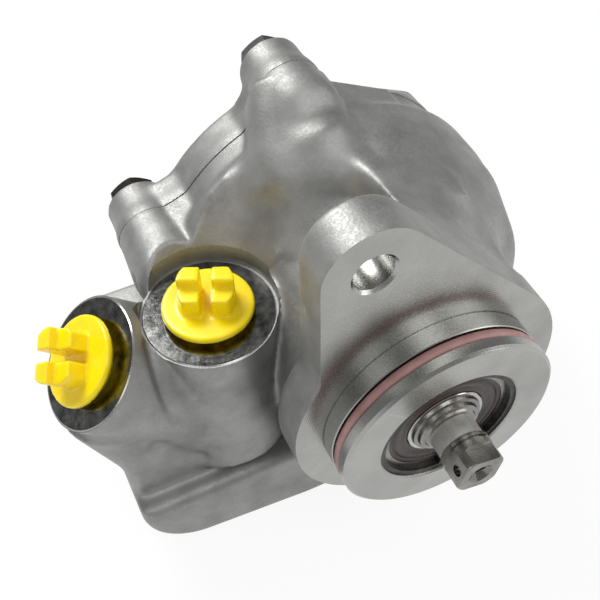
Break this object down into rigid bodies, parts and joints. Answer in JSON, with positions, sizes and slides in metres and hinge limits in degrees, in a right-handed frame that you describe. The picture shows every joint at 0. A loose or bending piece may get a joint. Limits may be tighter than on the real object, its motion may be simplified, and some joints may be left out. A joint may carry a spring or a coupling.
{
  "type": "power steering pump",
  "caption": "Flange-mounted vane pump for power steering, with a splined and tanged drive shaft, two capped ports on angled bosses and a bolted rear cover.",
  "frame": {"origin": "centre of the round pilot on the mounting face, on the shaft axis", "axes": "+Y along the shaft towards the rear cover, +Z along the upright port, +X to the right seen from the shaft end"},
  "size_m": [0.2011, 0.1495, 0.1701],
  "materials": {
    "cast_aluminium": "sand-cast aluminium, satin, machined on the faces",
    "seal_rubber": "dark nitrile rubber",
    "brown_rubber": "dusty brown rubber",
    "black_steel": "black phosphated steel",
    "ground_steel": "ground and turned steel",
    "bearing_steel": "polished bearing steel",
    "cage_steel": "pressed steel",
    "spring_steel": "oiled spring steel",
    "plate_iron": "sintered iron, ground faces",
    "bush_bronze": "bronze on steel",
    "yellow_plastic": "glossy moulded polyethylene"
  },
  "bodies": {
    "casing": {"housing": "cast_aluminium", "rear_cover": "cast_aluminium", "cover_seal": "seal_rubber", "cover_screws": "black_steel", "pilot_o_ring": "brown_rubber", "bearing_outer_ring": "bearing_steel", "bearing_shield": "seal_rubber", "bearing_snap_ring": "spring_steel", "shaft_seal": "seal_rubber", "shaft_seal_spring": "spring_steel", "plate_spring": "spring_steel", "front_plate": "plate_iron", "front_plate_seal": "seal_rubber", "cam_ring": "ground_steel", "rear_plate": "plate_iron", "locating_pins": "ground_steel", "rear_bush": "bush_bronze", "flow_valve_spring": "spring_steel", "valve_plug": "black_steel", "valve_plug_seal": "seal_rubber", "upright_port_plug": "yellow_plastic", "side_port_plug": "yellow_plastic"},
    "rotating_group": {"drive_shaft": "ground_steel", "bearing_inner_ring": "bearing_steel", "rotor": "ground_steel", "rotor_clip": "spring_steel"},
    "ball_set": {"bearing_balls": "bearing_steel", "bearing_cage": "cage_steel"},
    "spool": {"flow_valve_spool": "ground_steel", "relief_seat": "ground_steel", "relief_spring": "spring_steel"},
    "relief_valve": {"relief_ball": "bearing_steel"},
    "vane_1": {"vane_01": "ground_steel"},
    "vane_2": {"vane_02": "ground_steel"},
    "vane_3": {"vane_03": "ground_steel"},
    "vane_4": {"vane_04": "ground_steel"},
    "vane_5": {"vane_05": "ground_steel"},
    "vane_6": {"vane_06": "ground_steel"},
    "vane_7": {"vane_07": "ground_steel"},
    "vane_8": {"vane_08": "ground_steel"},
    "vane_9": {"vane_09": "ground_steel"},
    "vane_10": {"vane_10": "ground_steel"}
  },
  "joints": [
    {"name": "shaft_spin", "type": "hinge", "parent": "casing", "child": "rotating_group", "pos_m": [0, 0, 0], "axis": [0, 1, 0], "continuous": true},
    {"name": "ball_set_orbit", "type": "hinge", "parent": "casing", "child": "ball_set", "pos_m": [0, 0, 0], "axis": [0, 1, 0], "continuous": true},
    {"name": "vane_1_slide", "type": "slide", "parent": "rotating_group", "child": "vane_1", "axis": [0.9511, 0, 0.309], "range_m": [-0.0022, 0]},
    {"name": "vane_2_slide", "type": "slide", "parent": "rotating_group", "child": "vane_2", "axis": [0.5878, 0, 0.809], "range_m": [-0.0022, 0]},
    {"name": "vane_3_slide", "type": "slide", "parent": "rotating_group", "child": "vane_3", "axis": [0, 0, 1], "range_m": [-0.0022, 0]},
    {"name": "vane_4_slide", "type": "slide", "parent": "rotating_group", "child": "vane_4", "axis": [-0.5878, 0, 0.809], "range_m": [-0.0022, 0]},
    {"name": "vane_5_slide", "type": "slide", "parent": "rotating_group", "child": "vane_5", "axis": [-0.9511, 0, 0.309], "range_m": [-0.0022, 0]},
    {"name": "vane_6_slide", "type": "slide", "parent": "rotating_group", "child": "vane_6", "axis": [-0.9511, 0, -0.309], "range_m": [-0.0022, 0]},
    {"name": "vane_7_slide", "type": "slide", "parent": "rotating_group", "child": "vane_7", "axis": [-0.5878, 0, -0.809], "range_m": [-0.0022, 0]},
    {"name": "vane_8_slide", "type": "slide", "parent": "rotating_group", "child": "vane_8", "axis": [0, 0, -1], "range_m": [-0.0022, 0]},
    {"name": "vane_9_slide", "type": "slide", "parent": "rotating_group", "child": "vane_9", "axis": [0.5878, 0, -0.809], "range_m": [-0.0022, 0]},
    {"name": "vane_10_slide", "type": "slide", "parent": "rotating_group", "child": "vane_10", "axis": [0.9511, 0, -0.309], "range_m": [-0.0022, 0]},
    {"name": "spool_slide", "type": "slide", "parent": "casing", "child": "spool", "axis": [0, 1, 0], "range_m": [0, 0.009], "stiffness_N_per_m": 3500, "springref_m": -0.004, "deforming": ["flow_valve_spring"]},
    {"name": "relief_slide", "type": "slide", "parent": "spool", "child": "relief_valve", "axis": [0, -1, 0], "range_m": [0, 0.0012], "stiffness_N_per_m": 9000, "springref_m": -0.001, "deforming": ["relief_spring"]}
  ],
  "couplings": [
    {"joint": "ball_set_orbit", "follows": "shaft_spin", "ratio": 0.375}
  ]
}
